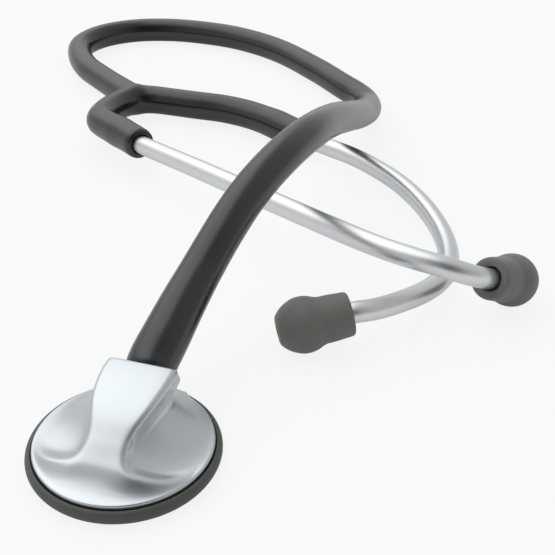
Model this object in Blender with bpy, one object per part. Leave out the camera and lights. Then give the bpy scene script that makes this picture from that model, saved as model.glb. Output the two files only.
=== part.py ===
"""A single-head stethoscope, lying on a table with its ear tubes crossed.

Sizes are in millimetres and are scaled to metres when a mesh is made.
The layout frame has its origin on the table under the chestpiece: X to the right, Y away from the
viewer, Z up. LAYOUT_AT carries it to the part's own origin, the middle of the rigid pieces' base.
"left" is the ear tube on the viewer's side, which lies over the right one.
"""

import math

import bmesh
import bpy
from mathutils import Matrix, Vector
from mathutils.geometry import interpolate_bezier

MM = 0.001
GAP = 0.3                      # clearance between pieces that touch
LAYOUT_AT = Vector((-34.27, -101.94, 0.0))

# Chestpiece
NECK_AZIMUTH = 74.5            # direction of the neck, degrees from +X
HEAD_R = 21.3                  # radius of the metal disc
HEAD_EDGE_Z = 4.9              # top of the disc's edge above the table
FRONT_RISE = 4.3               # rise of the front slope from the edge to its shoulder
SHOULDER_R = 14.5
HUB_SLOPE = 0.36               # gentler rise from the shoulder to the neck
LOBE_RISE = 5.6                # rise of the scooped lobes to the foot of the neck
CREASE_AT = -14.3              # the crease's place before the axis, and its turn back at the rim
CREASE_TURN = 8.7
CREASE_BACK = 5.0              # width over which the lobes fall away behind the crease
BOWL_R = 18.9
BOWL_TOP_Z = 3.7
RIM_R = 23.0                   # outer radius of the soft rim
DIAPHRAGM_R = 20.2
DIAPHRAGM_Z = 0.8
DIAPHRAGM_T = 0.35

# The hose leaves the neck along this line, in the neck's own frame (Y along the neck)
STEM_AT = Vector((0.0, 16.0, 12.3))
STEM_RISE = 27.0               # degrees above the table
STEM_SEAT = 7.0                # length pressed into the neck
STEM_LENGTH = 6.4              # barbed length outside the neck
BARB_R = 3.95
CUFF_LENGTH = 14.0             # end of the tubing that is stretched over the barbs

# Tubing
HOSE_R = 5.45
CUFF_R = 6.25
ARM_R = 5.6
BORE_R = 2.6

# Ear tubes and tips
TUBE_R = 3.3                   # at the yoke
TUBE_END_R = 3.0               # at the ear tip
TUBE_WALL = 0.9
TUBE_INSERT = 18.0             # length of ear tube inside its arm
FERRULE_R = 4.3
FERRULE_LENGTH = 5.0
TIP_LENGTH = 20.5
TIP_BALL_AT = 7.3              # centre of the tip's bulb behind its nose

# Leaf spring
LEAF_T = 0.5
LEAF_W = 4.0
LEAF_OFFSET = 4.0              # from the bore's middle to the leaf

# Centre lines in the layout frame
HOSE_ROUTE = [
    (7.6, 23.9, 17.1), (11.4, 32.4, 21.7), (15.7, 41.5, 26.4), (20.3, 50.0, 31.6), (25.0, 58.6, 36.0), (30.3, 67.9, 39.4),
    (36.8, 80.0, 41.4), (44.0, 97.5, 40.0), (52.2, 126.0, 32.2), (59.0, 150.0, 23.6),
    (66.4, 178.0, 13.2), (71.0, 199.0, 7.2), (69.4, 213.0, 5.6), (62.1, 226.5, 5.6),
    (52.0, 244.7, 5.6), (34.3, 270.7, 5.6), (14.6, 288.7, 5.6), (-5.5, 298.0, 5.6),
    (-23.0, 301.2, 5.6), (-40.0, 298.4, 5.6), (-54.0, 288.6, 5.6), (-60.8, 273.5, 5.6),
    (-58.4, 258.6, 5.6), (-51.2, 243.6, 5.8), (-43.4, 231.4, 6.1),
]
YOKE_SOCKET = (-38.2, 223.8, 6.3)
YOKE_MIDDLE = (-25.0, 204.8, 6.8)
LEFT_HINGE = Vector((-34.2, 182.0, 8.6))
RIGHT_HINGE = Vector((0.0, 200.8, 6.3))
LEFT_CROWN_ROUTE = [YOKE_MIDDLE, (-29.6, 198.4, 7.1), (-32.6, 191.0, 7.7), tuple(LEFT_HINGE)]
RIGHT_CROWN_ROUTE = [YOKE_MIDDLE, (-17.0, 205.0, 6.6), (-8.6, 203.2, 6.4), tuple(RIGHT_HINGE)]
LEFT_ARM_ROUTE = [
    tuple(LEFT_HINGE), (-33.9, 176.6, 9.1), (-31.2, 171.8, 9.6), (-26.4, 165.6, 10.2),
    (-20.4, 157.7, 10.9), (-14.9, 149.9, 11.5),
]
RIGHT_ARM_ROUTE = [
    tuple(RIGHT_HINGE), (12.4, 197.4, 6.2), (22.7, 191.9, 6.2), (31.4, 184.6, 6.2),
    (39.2, 176.4, 6.2), (45.6, 169.3, 6.2),
]
LEFT_TUBE_ROUTE = [
    (-9.1, 143.4, 12.2), (8.5, 124.3, 14.2), (26.0, 104.7, 16.3), (41.4, 87.4, 18.2),
    (58.2, 69.4, 20.0), (66.1, 62.4, 20.5), (73.9, 57.3, 20.6), (79.6, 55.0, 20.2),
    (84.6, 54.3, 18.9), (89.6, 55.6, 16.6),
]
RIGHT_TUBE_ROUTE = [
    (54.2, 161.6, 6.0), (60.9, 156.2, 5.8), (67.8, 149.0, 5.5), (76.9, 135.6, 5.2),
    (83.2, 121.0, 5.0), (87.2, 105.0, 4.8), (88.3, 90.4, 4.8), (86.5, 77.8, 5.1),
    (82.2, 68.8, 5.8), (76.6, 61.6, 6.8), (69.2, 54.6, 8.2), (62.0, 49.2, 9.4),
]
LEFT_BALL = Vector((103.4, 67.8, 7.8))
LEFT_TIP_AXIS = Vector((0.66, 0.62, -0.42)).normalized()
RIGHT_BALL = Vector((42.4, 43.5, 7.85))
RIGHT_TIP_AXIS = Vector((-0.965, -0.195, -0.165)).normalized()


# ---------------------------------------------------------------- helpers

def clear_scene():
    for old in list(bpy.data.objects):
        bpy.data.objects.remove(old, do_unlink=True)


def make_material(name, color, roughness, metallic=0.0):
    made = bpy.data.materials.new(name)
    made.use_nodes = True
    shader = made.node_tree.nodes["Principled BSDF"]
    shader.inputs["Base Color"].default_value = (*color, 1.0)
    shader.inputs["Roughness"].default_value = roughness
    shader.inputs["Metallic"].default_value = metallic
    return made


def make_empty(name, at, parent=None):
    """An empty at a layout position; pieces parented to it move about or along it."""
    empty = bpy.data.objects.new(name, None)
    empty.location = Vector(at) * MM
    empty.parent = parent
    bpy.context.collection.objects.link(empty)
    return empty


def make_object(name, bm, parent, color, roughness, metallic=0.0, origin=(0, 0, 0)):
    """Turns a bmesh in millimetres into an object; origin is the parent's layout position."""
    bmesh.ops.recalc_face_normals(bm, faces=bm.faces)
    if bm.calc_volume(signed=True) < 0:
        bmesh.ops.reverse_faces(bm, faces=bm.faces)
    bm.transform(Matrix.Scale(MM, 4) @ Matrix.Translation(-Vector(origin)))
    mesh = bpy.data.meshes.new(name)
    bm.to_mesh(mesh)
    bm.free()
    mesh.shade_smooth()
    mesh.set_sharp_from_angle(angle=math.radians(35))
    mesh.materials.append(make_material(name, color, roughness, metallic))
    made = bpy.data.objects.new(name, mesh)
    made.parent = parent
    bpy.context.collection.objects.link(made)
    return made


def make_cutter(name, bm, parent, origin=(0, 0, 0)):
    cutter = make_object(name, bm, parent, (0.5, 0.5, 0.5), 0.5, origin=origin)
    cutter.hide_render = True
    cutter.display_type = 'WIRE'
    return cutter


def combine(target, tool, operation='DIFFERENCE'):
    modifier = target.modifiers.new(tool.name, 'BOOLEAN')
    modifier.operation = operation
    modifier.object = tool
    modifier.solver = 'EXACT'


def loft(rings, wrap=False):
    """Joins rings of equal length; wrap joins the last ring to the first, otherwise both are capped."""
    bm = bmesh.new()
    rows = [[bm.verts.new(p) for p in ring] for ring in rings]
    count = len(rings[0])
    pairs = list(zip(rows[:-1], rows[1:]))
    if wrap:
        pairs.append((rows[-1], rows[0]))
    for low, high in pairs:
        for k in range(count):
            nxt = (k + 1) % count
            bm.faces.new((low[k], low[nxt], high[nxt], high[k]))
    if not wrap:
        bm.faces.new(list(reversed(rows[0])))
        bm.faces.new(rows[-1])
    return bm


def turned(profile, segments, at=(0, 0, 0), axis=(0, 0, 1)):
    """A closed profile of (radius, height) turned about an axis through a point."""
    bm = bmesh.new()
    points = [bm.verts.new((radius, 0.0, height)) for radius, height in profile]
    edges = [bm.edges.new((a, b)) for a, b in zip(points, points[1:] + points[:1])
             if max(a.co.x, b.co.x) > 0]
    bmesh.ops.spin(bm, geom=points + edges, cent=(0, 0, 0), axis=(0, 0, 1), angle=2 * math.pi,
                   steps=segments, use_merge=True)
    bmesh.ops.remove_doubles(bm, verts=bm.verts, dist=1e-4)
    bmesh.ops.dissolve_degenerate(bm, edges=bm.edges, dist=1e-4)
    turn = Vector(axis).to_track_quat('Z', 'Y').to_matrix().to_4x4()
    bm.transform(Matrix.Translation(Vector(at)) @ turn)
    return bm


def smooth_path(route, step):
    """Points every step along a smooth curve through the route's points."""
    points = [Vector(p) for p in route]
    dense = [points[0]]
    for k in range(len(points) - 1):
        a, b = points[k], points[k + 1]
        before = points[k - 1] if k else a - (b - a)
        after = points[k + 2] if k + 2 < len(points) else b + (b - a)
        reach = (b - a).length / 3
        handle_a = a + (b - before).normalized() * reach
        handle_b = b - (after - a).normalized() * reach
        dense += interpolate_bezier(a, handle_a, handle_b, b, 24)[1:]
    total = sum((q - p).length for p, q in zip(dense, dense[1:]))
    count = max(2, round(total / step))
    spacing = total / count
    path = [dense[0]]
    travelled = 0.0
    for p, q in zip(dense, dense[1:]):
        length = (q - p).length
        while len(path) < count and travelled + length >= spacing * len(path):
            path.append(p.lerp(q, (spacing * len(path) - travelled) / length))
        travelled += length
    path.append(dense[-1])
    return path


def path_length(path):
    return sum((q - p).length for p, q in zip(path, path[1:]))


def along(path, distance):
    """The point at a distance from the path's start, carried on straight past its ends."""
    if distance <= 0:
        return path[0] + (path[1] - path[0]).normalized() * distance
    for p, q in zip(path, path[1:]):
        length = (q - p).length
        if distance <= length:
            return p.lerp(q, distance / length)
        distance -= length
    return path[-1] + (path[-1] - path[-2]).normalized() * distance


def frames(path, distances):
    """Point, side and up vector at each distance, carried without twist from a level start."""
    side = Vector((1, 0, 0))
    out = []
    for k, distance in enumerate(distances):
        tangent = (along(path, distance + 1.5) - along(path, distance - 1.5)).normalized()
        if k == 0:
            side = tangent.cross(Vector((0, 0, 1)))
        side = (side - tangent * side.dot(tangent)).normalized()
        out.append((along(path, distance), side, tangent.cross(side)))
    return out


def round_rings(path, stops, count, step):
    """Rings along a path; stops are (distance, radius), two at one distance make a step."""
    marks = []
    for (d0, r0), (d1, r1) in zip(stops, stops[1:]):
        parts = max(1, round((d1 - d0) / step))
        marks += [(d0 + (d1 - d0) * k / parts, r0 + (r1 - r0) * k / parts) for k in range(parts)]
    marks.append(stops[-1])
    turn = 2 * math.pi / count
    rings = []
    for (_, radius), (middle, side, up) in zip(marks, frames(path, [d for d, _ in marks])):
        rings.append([middle + (side * math.cos(k * turn) + up * math.sin(k * turn)) * radius
                      for k in range(count)])
    return rings


def at_distance(stops, distance):
    """Linear reading of (distance, value) stops."""
    for (d0, v0), (d1, v1) in zip(stops, stops[1:]):
        if distance <= d1:
            return v0 + (v1 - v0) * max(0.0, distance - d0) / (d1 - d0)
    return stops[-1][1]


def rod(path, stops, count, step=3.2):
    """A solid round bar along a path."""
    return loft(round_rings(path, stops, count, step))


def pipe(path, outer_stops, inner_stops, count, step=3.2):
    """An open-ended pipe along a path."""
    outer = round_rings(path, outer_stops, count, step)
    inner = round_rings(path, inner_stops, count, step)
    return loft(outer + inner[::-1], wrap=True)


def strip(path, start, end, side_sign, offset, thickness, width):
    """A flat strip on edge that follows a path between two distances, to one side of it."""
    rise = Vector((0, 0, width / 2))
    count = max(2, round((end - start) / 2.5))
    rings = []
    for k in range(count + 1):
        distance = start + (end - start) * k / count
        tangent = along(path, distance + 1.5) - along(path, distance - 1.5)
        level = tangent.cross(rise).normalized() * side_sign
        near = along(path, distance) + level * (offset - thickness / 2)
        far = along(path, distance) + level * (offset + thickness / 2)
        rings.append([near - rise, far - rise, far + rise, near + rise])
    return loft(rings)


def ball(at, radius, segments=20):
    bm = bmesh.new()
    bmesh.ops.create_uvsphere(bm, u_segments=segments, v_segments=segments // 2, radius=radius)
    bm.transform(Matrix.Translation(Vector(at)))
    return bm


def smoothstep(t):
    t = min(max(t, 0.0), 1.0)
    return t * t * (3 - 2 * t)


# ---------------------------------------------------------------- chestpiece

def front_height(radius):
    """The front slope: flat at the edge, steep half-way, gentle again from its shoulder to the hub."""
    steep = smoothstep((HEAD_R - 0.3 - radius) / (HEAD_R - 0.3 - SHOULDER_R))
    beyond = max(0.0, SHOULDER_R + 2.0 - radius)
    gentle = beyond * beyond / (beyond + 1.5) if beyond else 0.0
    return HEAD_EDGE_Z + 0.2 + FRONT_RISE * steep + HUB_SLOPE * gentle


def lobe_height(radius):
    """The hollow lobes beside the neck, which sweep up towards it."""
    inward = max(0.0, (HEAD_R - radius) / (HEAD_R - 8.0))
    return HEAD_EDGE_Z + 0.1 + LOBE_RISE * min(inward, 1.25) ** 1.6


def crease_at(x):
    """The crease's place along the neck: straight before the axis, turned back at the rim."""
    return CREASE_AT + CREASE_TURN * (abs(x) / 20.8) ** 4


def head_height(x, y):
    """The disc's top: the front slope before the crease, hollow lobes behind it."""
    radius = math.hypot(x, y)
    crease = crease_at(x)
    if y <= crease:
        return front_height(radius)
    ridge = front_height(math.hypot(x, crease))
    falling = smoothstep((y - crease) / CREASE_BACK)
    return ridge + (lobe_height(radius) - ridge) * falling


def head_disc():
    """The metal disc: a turned edge and bowl under a sculpted top."""
    segments = 72
    under = [(0.0, BOWL_TOP_Z), (2.0, BOWL_TOP_Z), (BOWL_R - 0.8, 2.1), (BOWL_R, 1.7), (20.2, 1.7),
             (20.2, 3.0), (HEAD_R - 0.1, 3.3), (HEAD_R, 3.5), (HEAD_R, HEAD_EDGE_Z - 0.15)]
    top_radii = [21.05, 20.2, 19.2, 18.0, 16.6, 15.2, 13.8, 12.4, 11.0, 9.5, 7.5, 5.0, 2.5]
    bm = bmesh.new()
    rows = []
    turn = 2 * math.pi / segments
    for radius, height in under[1:]:
        rows.append([bm.verts.new((radius * math.cos(k * turn), radius * math.sin(k * turn), height))
                     for k in range(segments)])
    for radius in top_radii:
        row = []
        for k in range(segments):
            x, y = radius * math.cos(k * turn), radius * math.sin(k * turn)
            row.append(bm.verts.new((x, y, head_height(x, y))))
        rows.append(row)
    for low, high in zip(rows, rows[1:]):
        for k in range(segments):
            nxt = (k + 1) % segments
            bm.faces.new((low[k], low[nxt], high[nxt], high[k]))
    bm.faces.new(list(reversed(rows[0])))
    bm.faces.new(rows[-1])
    return bm


NECK_WIDTH = [(-13.0, 6.0), (-10.5, 5.4), (-8.0, 5.2), (-5.5, 5.7), (-2.5, 6.7), (0.0, 7.5),
              (4.0, 8.3), (8.0, 8.8), (12.0, 8.9), (22.0, 8.3)]
NECK_TOP = [(-13.0, 9.8), (-10.5, 11.6), (-8.0, 12.9), (-4.0, 14.9), (0.0, 16.4), (4.0, 17.3),
            (8.0, 17.9), (12.0, 18.2), (22.0, 18.4)]
FLUTE_DEPTH = [(-13.0, 0.0), (-7.0, 0.0), (-3.0, 1.0), (2.0, 1.8), (10.0, 2.0), (22.0, 1.7)]
FLANGE = [(-13.0, 1.4), (-6.0, 1.6), (4.0, 2.0), (12.0, 2.7), (22.0, 2.9)]


def neck_section(y):
    """One cross-section of the neck: a plate with a fluted side that ends in a rail and a foot."""
    half = at_distance(NECK_WIDTH, y)
    top = at_distance(NECK_TOP, y)
    flute = at_distance(FLUTE_DEPTH, y)
    flange = at_distance(FLANGE, y)
    foot = min(half + 1.6, math.sqrt(max(4.0, (HEAD_R - 0.9) ** 2 - y * y)))
    fit = min(1.0, (top - 4.9) / (flange + 4.8))
    side = [
        (half - 1.2, 0.2), (half - 0.35, 0.55), (half, 1.1), (half - 0.1, flange),
        (half - flute, flange + 0.7), (half - flute, flange + 1.7), (half + 0.15, flange + 2.5),
        (half + 0.35, flange + 3.3), (min(foot, half + 0.7), flange + 4.8), (foot, (top - 4.3) / fit),
    ]
    right = [Vector((x, y, top - drop * fit)) for x, drop in side]
    left = [Vector((-x, y, top - drop * fit)) for x, drop in reversed(side)]
    return [Vector((0.0, y, top))] + right + [Vector((0.0, y, 4.3))] + left


def neck_end_ring(fraction, back, inset):
    """A ring of the neck that leans towards the plane of its end, which is square to the hose."""
    axis = Vector((0, math.cos(math.radians(STEM_RISE)), math.sin(math.radians(STEM_RISE))))
    ring = []
    for k in range(len(neck_section(12.0))):
        y = 14.0
        for _ in range(5):
            z = neck_section(y)[k].z
            y = STEM_AT.y - back - (z - STEM_AT.z) * axis.z / axis.y
        point = neck_section(9.0 + (y - 9.0) * fraction)[k]
        ring.append(point + (STEM_AT - point).normalized() * inset)
    return ring


def neck_body():
    """The neck, lofted from its point on the front slope to its end, whose edge is rounded."""
    stations = [-13, -11, -9, -7, -5.5, -4, -2, 0, 2, 4, 6.5, 9]
    rings = [neck_section(y) for y in stations]
    rings += [neck_end_ring(0.5, 0.7, 0.0), neck_end_ring(1.0, 0.7, 0.0)]
    rings += [neck_end_ring(1.0, 0.2, 0.2), neck_end_ring(1.0, 0.0, 0.7)]
    return loft(rings)


def build_chestpiece(root):
    neck_turn = make_empty("chestpiece_axis", (0, 0, 0), root)
    neck_turn.rotation_euler = (0, 0, math.radians(NECK_AZIMUTH - 90))
    axis = Vector((0, math.cos(math.radians(STEM_RISE)), math.sin(math.radians(STEM_RISE))))

    head = make_object("chestpiece_head", head_disc(), neck_turn, (0.72, 0.74, 0.76), 0.3, 1.0)
    combine(head, make_cutter("neck_form", neck_body(), neck_turn), 'UNION')
    seat = [(0.0, -STEM_SEAT - GAP), (3.2 + GAP, -STEM_SEAT - GAP), (3.2 + GAP, 4.0), (0.0, 4.0)]
    combine(head, make_cutter("stem_seat", turned(seat, 28, STEM_AT, axis), neck_turn))
    channel = [(0.0, -20.5), (1.9, -20.5), (1.9, -5.0), (0.0, -5.0)]
    combine(head, make_cutter("sound_channel", turned(channel, 20, STEM_AT, axis), neck_turn))

    rim_profile = [
        (18.6, 0.0), (21.6, 0.0), (22.6, 0.8), (RIM_R, 2.2), (22.8, 3.6), (22.3, 4.5), (21.95, 4.8),
        (HEAD_R + GAP, 4.5), (HEAD_R + GAP, 3.1), (20.6, 2.7), (20.6, 0.5), (18.6, 0.5),
    ]
    make_object("diaphragm_rim", turned(rim_profile, 52), neck_turn, (0.09, 0.09, 0.08), 0.55)
    disc_profile = [
        (0.0, DIAPHRAGM_Z), (DIAPHRAGM_R, DIAPHRAGM_Z),
        (DIAPHRAGM_R, DIAPHRAGM_Z + DIAPHRAGM_T), (0.0, DIAPHRAGM_Z + DIAPHRAGM_T),
    ]
    make_object("diaphragm", turned(disc_profile, 52), neck_turn, (0.62, 0.64, 0.62), 0.35)

    barbs = [(1.8, -STEM_SEAT), (3.2, -STEM_SEAT), (3.2, 0.8)]
    for k in range(2):
        base = 1.2 + 2.5 * k
        barbs += [(BARB_R, base), (BARB_R, base + 0.4), (3.2, base + 2.2)]
    barbs += [(2.9, STEM_LENGTH), (1.8, STEM_LENGTH)]
    make_object("hose_stem", turned(barbs, 20, STEM_AT, axis), neck_turn, (0.75, 0.76, 0.78), 0.25, 1.0)
    turn = neck_turn.rotation_euler.to_matrix()
    return turn @ STEM_AT, turn @ axis


# ---------------------------------------------------------------- tubing and yoke

def build_tubing(root, stem_at, stem_axis):
    """The tubing from the neck to the yoke's socket: its end over the barbs, then its free stretch."""
    socket = Vector(YOKE_SOCKET)
    into_yoke = (Vector(YOKE_MIDDLE) - socket).normalized()
    route = [stem_at + stem_axis * GAP, stem_at + stem_axis * 4.0]
    route += [Vector(p) for p in HOSE_ROUTE]
    route.append(socket - into_yoke * GAP)
    middle = smooth_path(route, 1.0)

    outer = [(0.0, CUFF_R - 0.3), (0.6, CUFF_R), (8.0, CUFF_R), (11.0, CUFF_R - 0.25), (CUFF_LENGTH, HOSE_R)]
    inner = [(0.0, BARB_R + GAP), (STEM_LENGTH + 0.4, BARB_R + GAP), (STEM_LENGTH + 1.2, BORE_R),
             (CUFF_LENGTH, BORE_R)]
    make_object("tubing_cuff", pipe(middle, outer, inner, 24, 2.0), root, (0.015, 0.015, 0.016), 0.25)

    start = CUFF_LENGTH + GAP
    free_length = path_length(middle) - start
    count = round(free_length / 6.2)
    path = [along(middle, start + free_length * k / count) for k in range(count + 1)]
    curve = bpy.data.curves.new("main_tubing", 'CURVE')
    curve.dimensions = '3D'
    curve.bevel_depth = HOSE_R * MM
    curve.bevel_resolution = 4
    curve.use_fill_caps = True
    spline = curve.splines.new('POLY')
    spline.points.add(len(path) - 1)
    for point, place in zip(spline.points, path):
        point.co = (*(place * MM), 1.0)
    curve.materials.append(make_material("main_tubing", (0.015, 0.015, 0.016), 0.25))
    hose = bpy.data.objects.new("main_tubing", curve)
    hose.parent = root
    bpy.context.collection.objects.link(hose)


def build_crown(root):
    """The fork of the moulded tubing, with a cup for each arm's round root and a pocket for the leaf."""
    black = (0.015, 0.015, 0.016)
    inlet = smooth_path([YOKE_SOCKET, (-31.6, 214.2, 6.6), YOKE_MIDDLE], 2.0)
    left = smooth_path(LEFT_CROWN_ROUTE, 2.0)
    right = smooth_path(RIGHT_CROWN_ROUTE, 2.0)
    over = smooth_path(LEFT_CROWN_ROUTE[::-1] + RIGHT_CROWN_ROUTE[1:], 2.0)
    cup_back = 2.6
    inlet_length, over_length = path_length(inlet), path_length(over)

    form = rod(inlet, [(0.0, HOSE_R), (inlet_length, 6.3)], 20)
    crown = make_object("yoke_crown", form, root, black, 0.25)
    for side, path in (("left", left), ("right", right)):
        swell = [(0.0, 6.3), (path_length(path) - cup_back, ARM_R)]
        combine(crown, make_cutter(side + "_stub", rod(path, swell, 20), root), 'UNION')
    combine(crown, make_cutter("fork", ball(YOKE_MIDDLE, 6.5), root), 'UNION')
    for side, hinge in (("left", LEFT_HINGE), ("right", RIGHT_HINGE)):
        combine(crown, make_cutter(side + "_cup", ball(hinge, ARM_R + GAP), root))
    bore = BORE_R - 0.6
    combine(crown, make_cutter("fork_bore", rod(over, [(-1.0, bore), (over_length + 1.0, bore)], 12), root))
    combine(crown, make_cutter("inlet_bore", rod(inlet, [(-4.0, bore), (inlet_length, bore)], 12), root))
    pocket = strip(over, 1.0, over_length - 1.0, 1, LEAF_OFFSET, LEAF_T + 2 * GAP, LEAF_W + 2 * GAP)
    combine(crown, make_cutter("leaf_pocket", pocket, root))
    leaf = strip(over, 5.0, over_length - 5.0, 1, LEAF_OFFSET, LEAF_T, LEAF_W)
    make_object("yoke_spring", leaf, root, (0.45, 0.46, 0.48), 0.35, 1.0)


def build_side(name, hinge_at, root, arm_route, tube_route, ball_at, tip_axis, inner_sign):
    """One arm of the yoke with its ear tube and ear tip, all carried by the arm's hinge."""
    hinge = make_empty(name + "_hinge", hinge_at, root)

    def add(piece, bm, color, roughness, metallic=0.0):
        return make_object(piece + "_" + name, bm, hinge, color, roughness, metallic, hinge_at)

    def cut(target, piece, bm, operation='DIFFERENCE'):
        combine(target, make_cutter(piece + "_" + name, bm, hinge, hinge_at), operation)

    arm_path = smooth_path(arm_route, 2.0)
    length = path_length(arm_path)
    insert_at = length - TUBE_INSERT
    outer = [(0.0, ARM_R - 0.3), (4.0, ARM_R), (insert_at - 5.0, ARM_R), (insert_at + 1.0, ARM_R + 0.35),
             (insert_at + 7.0, ARM_R + 0.1), (length - 1.2, ARM_R + 0.1), (length, ARM_R - 0.7)]
    arm = add("yoke_arm", rod(arm_path, outer, 16), (0.015, 0.015, 0.016), 0.25)
    cut(arm, "arm_root", ball(hinge_at, ARM_R), 'UNION')
    bore = BORE_R - 0.6
    seat_end = insert_at + FERRULE_LENGTH + GAP
    hollow = [
        (-8.0, bore), (insert_at - GAP, bore), (insert_at - GAP, FERRULE_R + GAP),
        (seat_end, FERRULE_R + GAP), (seat_end, TUBE_R + GAP), (length - 1.4, TUBE_R + GAP),
        (length - 0.3, TUBE_R + 0.9), (length + 3.0, TUBE_R + 0.9),
    ]
    cut(arm, "arm_hollow", rod(arm_path, hollow, 16))
    pocket = strip(arm_path, -5.4, insert_at - 0.8, inner_sign, LEAF_OFFSET, LEAF_T + 2 * GAP, LEAF_W + 2 * GAP)
    cut(arm, "tongue_pocket", pocket)
    tongue = strip(arm_path, -3.0, insert_at - 1.2, inner_sign, LEAF_OFFSET, LEAF_T, LEAF_W)
    add("spring_tongue", tongue, (0.45, 0.46, 0.48), 0.35, 1.0)

    flare = [(insert_at, FERRULE_R - 0.4), (insert_at + 0.6, FERRULE_R), (insert_at + FERRULE_LENGTH, FERRULE_R)]
    inside = [(insert_at, TUBE_R + GAP), (insert_at + FERRULE_LENGTH, TUBE_R + GAP)]
    add("tube_ferrule", pipe(arm_path, flare, inside, 16), (0.55, 0.45, 0.25), 0.35, 1.0)

    tube_end = ball_at - tip_axis * (TIP_LENGTH - TIP_BALL_AT - 3.6)
    approach = ball_at - tip_axis * (TIP_LENGTH - TIP_BALL_AT + 1.4)
    route = [along(arm_path, insert_at + TUBE_INSERT * k / 4) for k in range(5)]
    tube_path = smooth_path(route + tube_route + [approach, tube_end], 2.0)
    tube_length = path_length(tube_path)
    outer = [(0.0, TUBE_R), (tube_length * 0.5, TUBE_R), (tube_length, TUBE_END_R)]
    inner = [(0.0, TUBE_R - TUBE_WALL), (tube_length, TUBE_END_R - TUBE_WALL)]
    add("ear_tube", pipe(tube_path, outer, inner, 14, 6.2), (0.80, 0.81, 0.83), 0.3, 1.0)

    build_tip(add, ball_at + tip_axis * TIP_BALL_AT, -tip_axis)


def build_tip(add, nose, back):
    """The soft screw-on ear tip, its threaded core and the screw in the ear tube's end.

    Heights run from the tip's nose back along the ear tube.
    """
    tip = [
        (1.6, 0.0), (3.5, 0.0), (4.1, 0.3), (5.0, 1.1), (6.2, 2.5), (7.2, 4.4), (7.7, 6.0), (7.8, 7.3),
        (7.65, 8.9), (7.2, 10.4), (6.7, 11.7), (6.5, 12.8), (6.5, 14.2), (6.3, 17.5), (6.15, 19.6),
        (5.8, TIP_LENGTH), (TUBE_END_R + 0.6, TIP_LENGTH), (TUBE_END_R + 0.5, 16.4), (4.9, 16.2),
        (4.9, 8.9), (1.6, 8.7),
    ]
    add("ear_tip", turned(tip, 24, nose, back), (0.13, 0.125, 0.115), 0.55)
    core = [(2.8, 9.2), (4.6, 9.2), (4.6, 15.9), (2.8, 15.9)]
    add("ear_tip_core", turned(core, 14, nose, back), (0.30, 0.30, 0.29), 0.5)
    screw = [(1.1, 9.5), (2.3, 9.5), (2.5, 9.8), (2.5, 16.0), (2.95, 16.0), (2.95, 16.6), (1.75, 16.6),
             (1.75, 21.0), (1.1, 21.0)]
    add("ear_tip_screw", turned(screw, 14, nose, back), (0.75, 0.76, 0.78), 0.3, 1.0)


def build():
    clear_scene()
    root = make_empty("stethoscope", LAYOUT_AT)
    stem_at, stem_axis = build_chestpiece(root)
    build_tubing(root, stem_at, stem_axis)
    build_crown(root)
    build_side("left", LEFT_HINGE, root, LEFT_ARM_ROUTE, LEFT_TUBE_ROUTE, LEFT_BALL, LEFT_TIP_AXIS, -1)
    build_side("right", RIGHT_HINGE, root, RIGHT_ARM_ROUTE, RIGHT_TUBE_ROUTE, RIGHT_BALL, RIGHT_TIP_AXIS, 1)


build()
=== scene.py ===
"""Dresses the stethoscope: a machined head, black moulded tubing, satin ear tubes and soft tips.

Shapes are laid out in millimetres, as in the part's source, and are scaled to metres as they are made.
The head's top is fuller here than in the source, and the tubing's loop reaches 2 mm less far.
"""

import math

import bmesh
import bpy
import numpy as np
from mathutils import Matrix, Vector
from mathutils.geometry import interpolate_bezier


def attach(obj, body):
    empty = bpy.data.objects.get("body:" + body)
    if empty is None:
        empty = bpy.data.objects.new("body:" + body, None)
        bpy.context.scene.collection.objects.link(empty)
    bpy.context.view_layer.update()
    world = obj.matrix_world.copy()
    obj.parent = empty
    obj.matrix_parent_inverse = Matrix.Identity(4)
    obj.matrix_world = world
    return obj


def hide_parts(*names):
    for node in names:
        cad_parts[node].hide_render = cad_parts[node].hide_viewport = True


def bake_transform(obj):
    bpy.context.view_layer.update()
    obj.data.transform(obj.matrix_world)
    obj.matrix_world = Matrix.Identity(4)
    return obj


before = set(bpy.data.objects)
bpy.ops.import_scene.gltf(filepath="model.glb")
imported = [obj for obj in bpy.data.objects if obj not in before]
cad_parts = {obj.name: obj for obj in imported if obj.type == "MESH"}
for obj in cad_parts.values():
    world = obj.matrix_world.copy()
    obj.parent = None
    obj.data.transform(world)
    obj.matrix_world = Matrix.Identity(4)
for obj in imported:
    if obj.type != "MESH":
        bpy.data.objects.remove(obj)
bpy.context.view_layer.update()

MM = 0.001
LAYOUT_AT = Vector((-34.27, -101.94, 0.0))

# The head
NECK_AZIMUTH = 74.5            # direction of the neck, degrees from +X
HEAD_R = 21.3                  # radius of the metal disc
HEAD_EDGE_Z = 4.9              # top of the disc's edge above the table
HOLLOW = 1.7                   # how hollow the front slope and the lobes are; 1 is flat
RIDGE_RISE = 4.4               # height of the crease's middle over the edge
RIDGE_END = 19.8               # where the crease runs out in the edge
CREASE_AT = -14.3              # the crease's place before the axis
CREASE_TURN = 8.7              # how far it turns back at the rim
CREASE_REACH = 20.8            # and the distance from the middle where it has done so
CREASE_BACK = 5.0              # width over which the lobes fall away behind the crease
CREASE_EDGE = 0.7              # how far the crease's edge is rounded
CREASE_SOFT = 1.8              # and how much more in front of the neck
CREASE_CALM = 10.0             # distance from the middle where that has died out

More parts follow.
